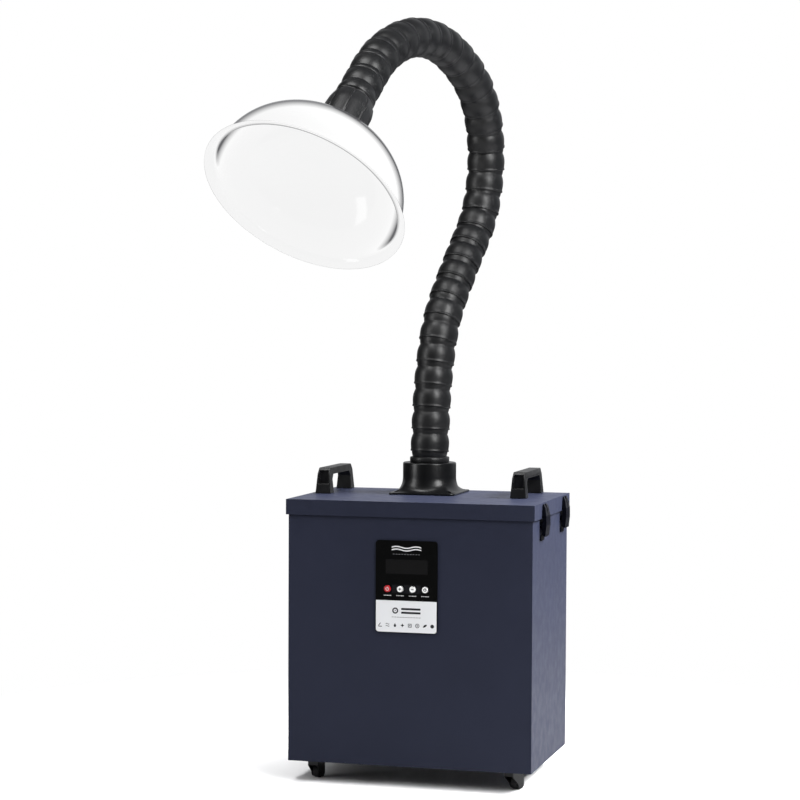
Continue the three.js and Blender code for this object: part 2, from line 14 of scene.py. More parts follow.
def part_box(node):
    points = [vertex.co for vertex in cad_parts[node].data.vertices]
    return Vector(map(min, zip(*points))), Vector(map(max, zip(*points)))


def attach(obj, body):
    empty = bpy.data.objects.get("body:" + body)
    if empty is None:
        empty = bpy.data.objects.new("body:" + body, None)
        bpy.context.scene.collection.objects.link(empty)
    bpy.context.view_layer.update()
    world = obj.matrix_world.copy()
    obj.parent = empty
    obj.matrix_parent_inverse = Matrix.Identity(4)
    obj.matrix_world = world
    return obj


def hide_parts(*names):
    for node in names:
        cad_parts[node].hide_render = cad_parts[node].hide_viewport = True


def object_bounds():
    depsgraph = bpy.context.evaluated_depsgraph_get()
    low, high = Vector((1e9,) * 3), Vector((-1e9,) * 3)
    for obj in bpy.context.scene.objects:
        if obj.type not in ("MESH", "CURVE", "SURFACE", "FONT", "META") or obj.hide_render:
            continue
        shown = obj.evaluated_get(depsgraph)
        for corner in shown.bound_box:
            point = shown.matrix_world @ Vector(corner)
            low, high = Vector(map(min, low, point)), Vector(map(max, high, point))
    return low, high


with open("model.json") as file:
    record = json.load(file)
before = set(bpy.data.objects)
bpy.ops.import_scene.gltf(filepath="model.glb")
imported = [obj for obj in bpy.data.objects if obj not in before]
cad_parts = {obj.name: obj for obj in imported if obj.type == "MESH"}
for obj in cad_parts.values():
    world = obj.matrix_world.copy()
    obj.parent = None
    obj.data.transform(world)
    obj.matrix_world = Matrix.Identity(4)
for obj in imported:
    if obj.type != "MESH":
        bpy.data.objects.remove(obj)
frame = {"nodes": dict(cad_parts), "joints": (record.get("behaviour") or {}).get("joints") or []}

CAD_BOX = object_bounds()
MM = 0.001

# ---------------------------------------------------------------- sizes shared with the CAD

PITCH = 35.7  # from one ball centre of the arm to the next
BALL = 29
CUP = 29.5
LIP = 30.7
BORE = 22
LINKS = 30

HOOD_REACH = 208  # from the last ball to the hood's mouth
HOOD_RISE = 132
HOOD_RIM = 157.5
HOOD_DOME = 145
HOOD_LIP = 12
HOOD_WALL = 2.5
HOOD_NECK = 31.5
HOOD_TOP = 146

HALF_WIDTH = 195
HALF_DEPTH = 130
RIM_TOP = 403  # of the cabinet's turned-in rim
SKIRT = 3.5  # how far the lid's skirt stands out from the wall


def corners(node):
    """A CAD node's lowest and highest corner, in millimetres."""
    low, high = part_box(node)
    return Vector(low) / MM, Vector(high) / MM


def centre(node):
    """The middle of a CAD node's box, in millimetres."""
    low, high = corners(node)
    return (low + high) / 2


joints = {joint["name"]: joint for joint in frame["joints"]}


def joint_place(name):
    """Where a joint turns, in millimetres."""
    return Vector(joints[name]["pos_m"]) / MM


# ---------------------------------------------------------------- materials


def noise(tree, coords, scale, detail=3.0):
    """A noise factor at a scale in turns per metre."""
    node = tree.nodes.new("ShaderNodeTexNoise")
    node.inputs["Scale"].default_value = scale
    node.inputs["Detail"].default_value = detail
    tree.links.new(coords, node.inputs["Vector"])
    return node.outputs["Fac"]


def spread(tree, factor, low, high):
    """A number from low to high that follows a noise factor."""
    node = tree.nodes.new("ShaderNodeMapRange")
    node.inputs["From Min"].default_value = 0.3
    node.inputs["From Max"].default_value = 0.7
    node.inputs["To Min"].default_value = low
    node.inputs["To Max"].default_value = high
    tree.links.new(factor, node.inputs["Value"])
    return node.outputs["Result"]


def blend_colors(tree, factor, first, second):
    """A colour from first to second that follows a factor."""
    node = tree.nodes.new("ShaderNodeMix")
    node.data_type = "RGBA"
    tree.links.new(factor, node.inputs["Factor"])
    node.inputs["A"].default_value = (*first, 1)
    node.inputs["B"].default_value = (*second, 1)
    return node.outputs["Result"]


def surface(name, color, roughness, metallic=0.0, grain=900, height=0.01, drift=0.08, gloss_drift=0.05,
            specular=0.5, coat=0.0, sheen=(1, 1, 1), ior=1.5):
    """A moulded or coated surface: fine grain in relief, with a slow drift in its colour and gloss.

    height is the grain's, in millimetres; sheen tints the reflections.
    """
    made = bpy.data.materials.new(name)
    made.use_nodes = True
    tree = made.node_tree
    shader = tree.nodes["Principled BSDF"]
    shader.inputs["Metallic"].default_value = metallic
    shader.inputs["Specular IOR Level"].default_value = specular
    shader.inputs["Specular Tint"].default_value = (*sheen, 1)
    shader.inputs["IOR"].default_value = ior
    shader.inputs["Coat Weight"].default_value = coat
    shader.inputs["Coat Roughness"].default_value = 0.12
    coords = tree.nodes.new("ShaderNodeTexCoord").outputs["Object"]
    slow = noise(tree, coords, 11, 4)
    shade = spread(tree, slow, 0, 1)
    dark = [c * (1 - drift) for c in color]
    light = [min(1, c * (1 + drift)) for c in color]
    tree.links.new(blend_colors(tree, shade, dark, light), shader.inputs["Base Color"])
    middle = noise(tree, coords, 60, 5)
    tree.links.new(
        spread(tree, middle, roughness - gloss_drift, roughness + gloss_drift), shader.inputs["Roughness"]
    )
    bump = tree.nodes.new("ShaderNodeBump")
    bump.inputs["Distance"].default_value = height * MM
    bump.inputs["Strength"].default_value = 1
    tree.links.new(noise(tree, coords, grain, 2), bump.inputs["Height"])
    tree.links.new(bump.outputs["Normal"], shader.inputs["Normal"])
    return made


def milky_plastic_painted_glow(name):
    """Thin milky acrylic with painted glow: an emission colour makes it evenly bright face on, in place of
    light passing through it, and painted edge shade greys it where it is seen edge on.
    """
    made = bpy.data.materials.new(name)
    made.use_nodes = True
    tree = made.node_tree
    shader = tree.nodes["Principled BSDF"]
    shader.inputs["Roughness"].default_value = 0.1
    shader.inputs["Specular IOR Level"].default_value = 0.15
    facing = tree.nodes.new("ShaderNodeLayerWeight")
    facing.inputs["Blend"].default_value = 0.5
    # Painted glow and painted edge shade: the emission stands in for light passing through, and each ramp
    # darkens the base colour and the emission where the shell is seen edge on.
    for level, socket in ((0.03, "Base Color"), (0.88, "Emission Color")):
        ramp = tree.nodes.new("ShaderNodeValToRGB")
        stops = ramp.color_ramp
        stops.elements[0].position = 0.6
        stops.elements[0].color = (level, level, level, 1)
        stops.elements[1].position = 0.82
        stops.elements[1].color = (level * 0.08, level * 0.08, level * 0.085, 1)
        tree.links.new(facing.outputs["Facing"], ramp.inputs["Fac"])
        tree.links.new(ramp.outputs["Color"], shader.inputs[socket])
    shader.inputs["Emission Strength"].default_value = 1
    coords = tree.nodes.new("ShaderNodeTexCoord").outputs["Object"]
    tree.links.new(spread(tree, noise(tree, coords, 9, 3), 0.94, 0.97), shader.inputs["Alpha"])
    return made


def fibre_mat(name, color):
    """A mat of tangled fibres: coarse grain in relief, an uneven colour and a little sheen."""
    made = surface(name, color, 0.92, grain=700, height=0.6, drift=0.25, specular=0.2)
    shader = made.node_tree.nodes["Principled BSDF"]
    shader.inputs["Sheen Weight"].default_value = 0.3
    return made


POWDER = surface("powder_coat_slate", (0.0185, 0.0212, 0.0375), 0.45, grain=1400, height=0.02, drift=0.04,
                 sheen=(0.8, 0.84, 1.0), ior=1.3)
SATIN_BLACK = surface("satin_black_plastic", (0.005, 0.0051, 0.0055), 0.36, grain=2200, height=0.01, ior=1.42)
ARM_BLACK = surface("arm_black_plastic", (0.0025, 0.0026, 0.0029), 0.42, grain=1800, height=0.008, drift=0.15)
GLOSS_BLACK = surface("gloss_black_plastic", (0.002, 0.0021, 0.0023), 0.3, grain=900, height=0.002,
                      gloss_drift=0.02)
LATCH_BLACK = surface("latch_black_lacquer", (0.002, 0.0022, 0.004), 0.3, grain=900, height=0.004, ior=1.14)
PANEL_BLACK = surface("panel_black_film", (0.0018, 0.0019, 0.0019), 0.45, grain=2500, height=0.002, drift=0.1,
                      ior=1.15)
DISPLAY = surface("display_window", (0.008, 0.008, 0.0082), 0.4, grain=300, height=0, drift=0, gloss_drift=0,
                  specular=0.05)
STRIP = surface("button_strip_film", (0.0085, 0.0085, 0.01), 0.4, grain=2500, height=0.004, specular=0.1)
PANEL_WHITE = surface("panel_white_film", (0.76, 0.77, 0.785), 0.4, grain=2500, height=0.002, drift=0.015)
# Dark ink for the print on the panel and the buttons; also the painted shade of the screws' cross recesses.
DARK_INK_AND_PAINTED_SHADE = surface("dark_ink_and_painted_shade", (0.006, 0.006, 0.009), 0.5, grain=3000, height=0.001)
INK_GREY = surface("ink_grey", (0.2, 0.2, 0.21), 0.5, grain=3000, height=0.001)
INK_WHITE = surface("ink_white", (0.75, 0.75, 0.76), 0.5, grain=3000, height=0.001, drift=0.02)
RED = surface("red_button_cap", (0.5, 0.012, 0.018), 0.3, grain=1500, height=0.004, drift=0.05, coat=0.3)
WHITE = surface("white_button_cap", (0.88, 0.88, 0.87), 0.5, grain=1500, height=0.002, drift=0.01,
                specular=0.3)
STEEL = surface("zinc_plated_steel", (0.55, 0.56, 0.57), 0.34, 1.0, grain=500, height=0.01, drift=0.12)
DARK_STEEL = surface("black_oxide_steel", (0.006, 0.006, 0.0065), 0.45, grain=900, height=0.01, ior=1.4)
GALVANISED = surface("galvanised_sheet", (0.5, 0.51, 0.52), 0.42, 0.9, grain=120, height=0.01, drift=0.3)
TREAD = surface("tread_rubber", (0.022, 0.022, 0.023), 0.7, grain=1500, height=0.03)
FAN_PLASTIC = surface("fan_black_plastic", (0.03, 0.03, 0.032), 0.45, grain=1500, height=0.01)
FOAM = surface("gasket_foam", (0.02, 0.02, 0.021), 0.85, grain=2500, height=0.15, drift=0.2)
BOARD = surface("filter_board", (0.7, 0.66, 0.56), 0.8, grain=900, height=0.04, drift=0.1)
MAT = fibre_mat("prefilter_mat", (0.62, 0.65, 0.68))
# The hood's shell material: painted glow from its emission, with painted edge shade.
HOOD = milky_plastic_painted_glow("milky_hood_plastic_painted_glow")

# ---------------------------------------------------------------- mesh helpers


def fillet(points, radius, steps=3):
    """A closed outline whose corners are rounded, each as far as its two sides allow."""
    rounded = []
    count = len(points)
    for i, point in enumerate(points):
        corner = Vector(point)
        back = Vector(points[i - 1]) - corner
        ahead = Vector(points[(i + 1) % count]) - corner
        reach = min(radius, back.length * 0.45, ahead.length * 0.45)
        start = corner + back.normalized() * reach
        end = corner + ahead.normalized() * reach
        for step in range(steps + 1):
            t = step / steps
            rounded.append((1 - t) ** 2 * start + 2 * t * (1 - t) * corner + t * t * end)
    return rounded


def arc(radius, start, end, steps, centre_height=0.0):
    """Points of a circle about the turning axis, as (radius, height); angles in degrees from the equator."""
    made = []
    for i in range(steps + 1):
        angle = math.radians(start + (end - start) * i / steps)
        made.append((radius * math.cos(angle), centre_height + radius * math.sin(angle)))
    return made


def rectangle(width, height, radius, steps=5, centre_at=(0, 0)):
    """The outline of a rectangle with round corners."""
    points = []
    for quarter, (sx, sy) in enumerate(((1, -1), (1, 1), (-1, 1), (-1, -1))):
        cx = centre_at[0] + sx * (width / 2 - radius)
        cy = centre_at[1] + sy * (height / 2 - radius)
        for i in range(steps + 1):
            angle = math.radians(90 * (quarter - 1) + 90 * i / steps)
            points.append((cx + radius * math.cos(angle), cy + radius * math.sin(angle)))
    return points


def circle(radius, steps=32, centre_at=(0, 0)):
    """The outline of a circle."""
    return [
        (centre_at[0] + radius * math.cos(a), centre_at[1] + radius * math.sin(a))
        for a in (2 * math.pi * i / steps for i in range(steps))
    ]


def skin(rings, closed):
    """Vertices and faces through rings of equal counts; closed joins the last ring to the first."""
    count = len(rings[0])
    verts = [tuple(v) for ring in rings for v in ring]
    faces = []
    for i in range(len(rings) if closed else len(rings) - 1):
        following = (i + 1) % len(rings)
        for j in range(count):
            k = (j + 1) % count
            faces.append((i * count + j, i * count + k, following * count + k, following * count + j))
    return verts, faces


def capped(rings):
    """A solid through rings, closed by a flat face at each end."""
    verts, faces = skin(rings, closed=False)
    count = len(rings[0])
    last = (len(rings) - 1) * count
    faces.append(tuple(range(count - 1, -1, -1)))
    faces.append(tuple(range(last, last + count)))
    return verts, faces


def turned(outline, steps, shape=None):
    """A ring turned about +Z from a closed (radius, height) outline; shape may change a radius."""
    rings = []
    for r, z in outline:
        ring = []
        for i in range(steps):
            angle = 2 * math.pi * i / steps
            reach = shape(r, z, angle) if shape else r
            ring.append((reach * math.cos(angle), reach * math.sin(angle), z))
        rings.append(ring)
    return skin(rings, closed=True)


def prism(outline, low, high):
    """A flat outline raised from low to high along Z."""
    return capped([[(x, y, z) for x, y in outline] for z in (low, high)])


def joined(*parts):
    """Several solids as the geometry of one piece."""
    verts, faces = [], []
    for more_verts, more_faces in parts:
        start = len(verts)
        verts += more_verts
        faces += [tuple(start + i for i in face) for face in more_faces]
    return verts, faces


def moved(geometry, matrix):
    """A geometry turned and shifted by a matrix."""
    verts, faces = geometry
    return [tuple(matrix @ Vector(v)) for v in verts], faces


def mark_sharp(mesh, degrees):
    """Smooth shading, apart from edges that turn by more than an angle."""
    limit = math.radians(degrees)
    work = bmesh.new()
    work.from_mesh(mesh)
    bmesh.ops.recalc_face_normals(work, faces=work.faces)
    for face in work.faces:
        face.smooth = True
    for edge in work.edges:
        edge.smooth = edge.is_manifold and edge.calc_face_angle(0) < limit
    work.to_mesh(mesh)
    work.free()


def bevelled(target, width, segments=2, degrees=30):
    """Rounds an object's sharp edges."""
    bevel = target.modifiers.new("edge rounding", "BEVEL")
    bevel.width = width * MM
    bevel.segments = segments
    bevel.limit_method = "ANGLE"
    bevel.angle_limit = math.radians(degrees)
    bevel.harden_normals = True
    return bevel


def piece(name, geometry, material, body, place=None, replaces=(), sharp=40, bevel=0, segments=2):
    """One named piece on a CAD body, from millimetre geometry."""
    verts, faces = geometry
    place = place or Matrix()
    mesh = bpy.data.meshes.new(name)
    mesh.from_pydata([(place @ Vector(v)) * MM for v in verts], [], faces)
    mesh.materials.append(material)
    mark_sharp(mesh, sharp)
    made = bpy.data.objects.new(name, mesh)
    bpy.context.scene.collection.objects.link(made)
    if bevel:
        bevelled(made, bevel, segments)
    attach(made, body)
    if replaces:
        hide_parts(*replaces)
    return made


def printed(name, outlines, thickness, material, body, place):
    """A thin flat graphic from outlines in X and Y; an outline inside another is a hole in it."""
    curve = bpy.data.curves.new(name, "CURVE")
    curve.dimensions = "2D"
    curve.fill_mode = "BOTH"
    curve.extrude = thickness / 2
    for outline in outlines:
        spline = curve.splines.new("POLY")
        spline.points.add(len(outline) - 1)
        for point, (x, y) in zip(spline.points, outline):
            point.co = (x, y, 0, 1)
        spline.use_cyclic_u = True
    holder = bpy.data.objects.new(name + "_outline", curve)
    bpy.context.scene.collection.objects.link(holder)
    flat = bpy.data.meshes.new_from_object(holder.evaluated_get(bpy.context.evaluated_depsgraph_get()))
    verts = [tuple(v.co) for v in flat.vertices]
    faces = [tuple(p.vertices) for p in flat.polygons]
    bpy.data.objects.remove(holder)
    bpy.data.meshes.remove(flat)
    return piece(name, (verts, faces), material, body, place)


def refine(node, material, width=0, segments=3):
    """A CAD node kept as it is, with rounded edges and a finished material."""
    target = frame["nodes"][node]
    target.data.materials.clear()
    target.data.materials.append(material)
    weld = target.modifiers.new("weld", "WELD")
    weld.merge_threshold = 0.02 * MM
    flatten = target.modifiers.new("flat faces", "DECIMATE")
    flatten.decimate_type = "DISSOLVE"
    flatten.angle_limit = math.radians(1)
    if width:
        bevelled(target, width, segments)
    return target


def along(start, direction):
    """A frame at start whose +Z runs along a direction."""
    turn = Vector(direction).to_track_quat("Z", "Y").to_matrix().to_4x4()
    return Matrix.Translation(start) @ turn


FACING_FRONT = Matrix.Rotation(math.radians(90), 4, "X")  # an outline in X and Y stands up and faces -Y
FACING_RIGHT = Matrix.Rotation(math.radians(90), 4, "Z") @ FACING_FRONT
FACING_LEFT = Matrix.Rotation(math.radians(-90), 4, "Z") @ FACING_FRONT
FACING_REAR = Matrix.Rotation(math.radians(180), 4, "Z") @ FACING_FRONT

# ---------------------------------------------------------------- fasteners


def screw(name, place, body, radius=3.4, head=1.8, material=DARK_STEEL):
    """A pan-head screw, its head proud of the place along +Z; its cross recess is painted shade, a thin dark
    cross on the head in place of a hollow.
    """
    cross = []
    half, reach = radius * 0.14, radius * 0.62
    for i in range(4):
        c, s = round(math.cos(math.pi / 2 * i)), round(math.sin(math.pi / 2 * i))
        for x, y in ((reach, -half), (reach, half), (half, half)):
            cross.append((x * c - y * s, x * s + y * c))
    steps = 24
    dome = [
        [(x, y, z) for x, y in circle(r, steps)]
        for r, z in (
            (radius * 0.9, 0), (radius, 0.25 * head), (radius * 0.92, 0.72 * head), (radius * 0.7, head),
        )
    ]
    piece(name, capped(dome), material, body, place)
    # Painted shade: the cross recess is not cut; a thin dark cross on the head stands in for the shade in the
    # hollow.
    recess = moved(prism(cross, 0, 0.12), Matrix.Translation((0, 0, head)))
    piece(name + "_recess_painted_shade", recess, DARK_INK_AND_PAINTED_SHADE, body, place)


# ---------------------------------------------------------------- cabinet and lid

refine("cabinet_shell", POWDER, 1.2)
refine("lid", POWDER, 2.2, 4)
refine("power_inlet", SATIN_BLACK, 0.8)
refine("fan_deck", GALVANISED, 0.3, 1)
refine("impeller", FAN_PLASTIC, 0.3, 1)
refine("main_filter", BOARD, 0.8)


def lid_gasket():
    """A foam strip on the cabinet's turned-in rim, which the lid presses on."""
    sheet, rim = 2, 11
    outer = rectangle(2 * (HALF_WIDTH - sheet), 2 * (HALF_DEPTH - sheet), 3)
    inner = rectangle(2 * (HALF_WIDTH - rim), 2 * (HALF_DEPTH - rim), 2)
    low, high = RIM_TOP + 0.2, RIM_TOP + 5.4
    rings = [
        [(x, y, z) for x, y in outline]
        for outline, z in ((outer, low), (outer, high - 1), (inner, high), (inner, low))
    ]
    piece("lid_gasket", skin(rings, closed=True), FOAM, "cabinet", bevel=0.8)


def prefilter():
    """The prefilter mat: a springy pad with soft edges and an uneven face."""
    low, high = corners("prefilter_pad")
    size, middle = high - low, (high + low) / 2
    rings = []
    edge = 6
    for inset, z in ((edge, 0), (1.5, 2), (0, 5), (0, size.z - 5), (1.5, size.z - 2), (edge, size.z)):
        outline = rectangle(size.x - 2 * inset, size.y - 2 * inset, 8)
        rings.append([(x, y, z - size.z / 2) for x, y in outline])
    pad = piece("prefilter_mat", capped(rings), MAT, "cabinet",
                Matrix.Translation(middle), replaces=("prefilter_pad",))


lid_gasket()
prefilter()


def inlet_details():
    """The inlet's three blades and its two screws."""
    middle = centre("power_inlet")
    for name, x, z in (("earth", 0, 3.6), ("line", -7, -1.8), ("neutral", 7, -1.8)):
        blade = prism(rectangle(2, 5, 0.6), 0, 12)
        place = Matrix.Translation((middle.x + x, HALF_DEPTH - 15.5, middle.z + z)) @ FACING_REAR
        piece("inlet_blade_" + name, blade, STEEL, "cabinet", place, bevel=0.2)
    for name, side in (("left", -1), ("right", 1)):
        place = Matrix.Translation((middle.x + side * 15.4, HALF_DEPTH + 2.3, middle.z)) @ FACING_REAR
        screw("inlet_screw_" + name, place, "cabinet", 1.9, 1)


inlet_details()

# ---------------------------------------------------------------- control panel

refine("control_panel", PANEL_BLACK, 0.9)
PANEL_FACE = corners("control_panel")[0].y
PANEL_LOW, PANEL_HIGH = corners("control_panel")
PANEL_X = (PANEL_LOW.x + PANEL_HIGH.x) / 2
PANEL_BORDER = 258.7
BUTTONS = ["power_button", "speed_up_button", "speed_down_button", "timer_button"]
BUTTON_HOLE = 6.1  # radius of the films' holes
FILM = 0.25  # thickness of the printed films
INK = 0.06  # thickness of what is printed on them
INK_LIFT = FILM + 0.02


def on_panel(x, z, lift=0.0):
    """A place on the panel's face, whose +Z looks out of the panel."""
    return Matrix.Translation((x, PANEL_FACE - lift, z)) @ FACING_FRONT


def panel_films():
    """The black and the white printed films, with holes for the buttons."""
    inset, seam = 0.8, 0.15
    width = PANEL_HIGH.x - PANEL_LOW.x - 2 * inset
    top, low = PANEL_HIGH.z - inset, PANEL_LOW.z + inset
    radius = 4.4
    black = rectangle(width, 2 * (top - PANEL_BORDER), radius)
    black = [(x, max(y, 0)) for x, y in black]
    holes = [
        circle(BUTTON_HOLE, 32, (centre(name).x - PANEL_X, centre(name).z - PANEL_BORDER)) for name in BUTTONS
    ]
    printed("panel_film_black", [black, *holes], FILM, PANEL_BLACK, "cabinet",
            on_panel(PANEL_X, PANEL_BORDER, FILM / 2))
    white = [(x, min(y, 0)) for x, y in rectangle(width, 2 * (PANEL_BORDER - low), radius)]
    printed("panel_film_white", [white], FILM, PANEL_WHITE, "cabinet",
            on_panel(PANEL_X, PANEL_BORDER - seam, FILM / 2))


panel_films()


def display_window():
    """The dark display, unlit."""
    low, high = 300.0, 322.0
    x0, x1 = -36.0, 31.0
    outline = rectangle(x1 - x0, high - low, 1.6)
    printed("display_window", [outline], 0.3, DISPLAY, "cabinet",
            on_panel((x0 + x1) / 2, (low + high) / 2, FILM + 0.12))


display_window()


def button_strip():
    """The slightly lighter strip behind the buttons, cut short of the first and the last of them."""
    clear = 7
    places = [centre(name) for name in BUTTONS]
    middle_x = (places[0].x + places[-1].x) / 2
    width = places[-1].x - places[0].x
    outline = rectangle(width + 1, 13, 1)
    holes = [circle(BUTTON_HOLE, 32, (p.x - middle_x, 0)) for p in places[1:-1]]
    left, right = places[0].x - middle_x, places[-1].x - middle_x
    between = [(min(max(x, left + clear), right - clear), y) for x, y in outline]
    printed("button_strip", [between, *holes], 0.12, STRIP, "cabinet",
            on_panel(middle_x, places[0].z, FILM + 0.05))


button_strip()


def button(name, material):
    """A round cap with a dished top and a soft edge."""
    low, high = corners(name)
    radius, depth = (high.x - low.x) / 2 - (0.3 if material is RED else 0.8), high.y - low.y
    outline = [
        (0.05, -0.35), (radius * 0.55, -0.3), (radius - 1.5, -0.05), (radius - 0.7, 0), (radius - 0.25, -0.12),
        (radius, -0.5), (radius, -depth), (0.05, -depth),
    ]
    place = Matrix.Translation((centre(name).x, low.y, centre(name).z)) @ FACING_FRONT
    piece(name + "_cap", turned(outline, 40), material, name, place, replaces=(name,), sharp=50)
    return place


def ring_arc(radius, width, start, end, steps=20, at=(0, 0)):
    """The outline of a stroke along an arc."""
    angles = [math.radians(start + (end - start) * i / steps) for i in range(steps + 1)]
    outer, inner = (
        [(at[0] + edge * math.cos(a), at[1] + edge * math.sin(a)) for a in angles]
        for edge in (radius + width / 2, radius - width / 2)
    )
    return outer + inner[::-1]


def stroke(x0, y0, x1, y1, width):
    """The outline of a straight stroke."""
    run = Vector((x1 - x0, y1 - y0)).normalized() * (width / 2)
    side = Vector((-run.y, run.x))
    a, b = Vector((x0, y0)), Vector((x1, y1))
    return [tuple(a + side), tuple(a - side), tuple(b - side), tuple(b + side)]


def button_icon(name, outlines, material, place):
    """A small sign in the dish of a button's cap."""
    printed(name + "_icon", outlines, 0.1, material, name, place @ Matrix.Translation((0, 0, -0.22)))


def buttons():
    """One red and three white caps, each with its sign."""
    icons = {
        "power_button": [ring_arc(2.3, 0.9, 130, 410), stroke(0, 0.4, 0, 3.1, 0.9)],
        "speed_up_button": [
            stroke(-1.9, 0, 1.9, 0, 1.1), stroke(0, 0.6, 0, 1.9, 1.1), stroke(0, -1.9, 0, -0.6, 1.1),
        ],
        "speed_down_button": [stroke(-1.9, 0, 1.9, 0, 1.1)],
        "timer_button": [ring_arc(2.0, 0.9, 0, 358), stroke(0, -0.3, 0, 1.2, 0.7)],
    }
    for name in BUTTONS:
        red = name == "power_button"
        place = button(name, RED if red else WHITE)
        ink = INK_WHITE if red else DARK_INK_AND_PAINTED_SHADE
        button_icon(name, icons[name], ink, place)


buttons()


def button_marks():
    """A row of pips under each button in place of lettering."""
    pips, pitch, drop = 5, 2.5, 10.2
    for name in BUTTONS:
        middle = centre(name)
        outlines = [rectangle(1.7, 1.1, 0.3, 2, ((i - (pips - 1) / 2) * pitch, 0)) for i in range(pips)]
        printed(name + "_pips", outlines, INK, INK_WHITE, "cabinet",
                on_panel(middle.x, middle.z - drop, INK_LIFT))


button_marks()


def wave(x0, x1, y, swing, width, turns=1.5, steps=28):
    """The outline of a wavy stroke."""
    upper, lower = [], []
    for i in range(steps + 1):
        t = i / steps
        x = x0 + (x1 - x0) * t
        rise = y + swing * math.sin(2 * math.pi * turns * t)
        upper.append((x, rise + width / 2))
        lower.append((x, rise - width / 2))
    return upper + lower[::-1]


def panel_symbols():
    """Plain symbols of rising air and a fan, in place of all lettering."""
    waves = [wave(-23.5, 23.5, y, 1.3, 1.7) for y in (3.2, -0.9)]
    printed("panel_air_symbol", waves, INK, INK_WHITE, "cabinet",
            on_panel(PANEL_X, 338, INK_LIFT))
    dashes = [rectangle(2.2, 0.9, 0.2, 2, (x, 0)) for x in (-20.25 + 4.5 * i for i in range(10))]
    printed("panel_dashes", dashes, INK, INK_GREY, "cabinet",
            on_panel(PANEL_X, 330.5, INK_LIFT))
    ring = [ring_arc(3.7, 2.2, 0, 358, 32), circle(1, 16)]
    printed("panel_fan_symbol", ring, INK, DARK_INK_AND_PAINTED_SHADE, "cabinet",
            on_panel(PANEL_X - 17.5, 243, INK_LIFT))
    bars = [rectangle(31, 3.2, 0.8, 3, (7.5, y)) for y in (2.9, -2.9)]
    printed("panel_bars", bars, INK, DARK_INK_AND_PAINTED_SHADE, "cabinet", on_panel(PANEL_X, 243, INK_LIFT))
    rule = [rectangle(3, 1, 0.2, 2, (x, 0)) for x in (-21.5 + 4.3 * i for i in range(11))]
    printed("panel_rule", rule, INK, INK_GREY, "cabinet", on_panel(PANEL_X, 233, INK_LIFT))
    pictograms()


def pictograms():
    """Eight small plain pictograms along the bottom of the white film."""
    drop = [(0, 2.6), (1.3, 0.2), (1.6, -0.9), (0.9, -2.1), (0, -2.4), (-0.9, -2.1), (-1.6, -0.9), (-1.3, 0.2)]
    leaf = [(-2.6, -1.6), (-1.2, 0.8), (0.6, 1.9), (2.8, 2.0), (2.2, 0.2), (0.6, -1.3), (-1.4, -1.7)]
    drawings = [
        [stroke(-2.2, -1.4, 0.4, 2.2, 0.9), stroke(-2.2, -2.1, 2.4, -2.1, 0.9)],
        [wave(-2.4, 2.4, y, 0.5, 0.8, 1, 12) for y in (1.3, -1.3)],
        [drop],
        [[(0, 2.5), (0.8, 0.8), (2.5, 0), (0.8, -0.8), (0, -2.5), (-0.8, -0.8), (-2.5, 0), (-0.8, 0.8)]],
        [rectangle(4.6, 4.6, 0.4, 2), rectangle(3.0, 3.0, 0.2, 2), rectangle(1.5, 1.5, 0.2, 2)],
        [ring_arc(2.3, 0.8, 0, 358, 24), circle(0.9, 12)],
        [leaf],
        [circle(2.4, 24)],
    ]
    row_pitch, larger = 11.9, 1.25
    for i, outlines in enumerate(drawings):
        x = PANEL_X + (i - (len(drawings) - 1) / 2) * row_pitch
        outlines = [[(larger * u, larger * v) for u, v in outline] for outline in outlines]
        printed("panel_pictogram_%d" % (i + 1), outlines, INK, DARK_INK_AND_PAINTED_SHADE, "cabinet",
                on_panel(x, 220.5, INK_LIFT))


panel_symbols()

# ---------------------------------------------------------------- what stands on the lid

for handle in ("handle_left", "handle_right"):
    refine(handle, SATIN_BLACK, 0.9, 3)

FLANGE_LOW, FLANGE_HIGH = corners("arm_flange")
FLANGE_SIDE = FLANGE_HIGH.x - FLANGE_LOW.x
FLANGE_TALL = FLANGE_HIGH.z - FLANGE_LOW.z
FLANGE_PLACE = Vector((centre("arm_flange").x, centre("arm_flange").y, FLANGE_LOW.z))


def flange_ring(blend, radius, half_side, corner, z, points=96):
    """One level of the flange: a circle at blend 0, a square with round corners at blend 1."""
    flat = half_side - corner
    ring = []
    for i in range(points):
        angle = 2 * math.pi * (i + 0.5) / points
        c, s = math.cos(angle), math.sin(angle)
        reach = half_side / max(abs(c), abs(s))
        if min(abs(c), abs(s)) * reach > flat:
            run = flat * (abs(c) + abs(s))
            reach = run + math.sqrt(run * run - 2 * flat * flat + corner * corner)
        r = radius + (reach - radius) * blend
        ring.append((r * c, r * s, z))
    return ring


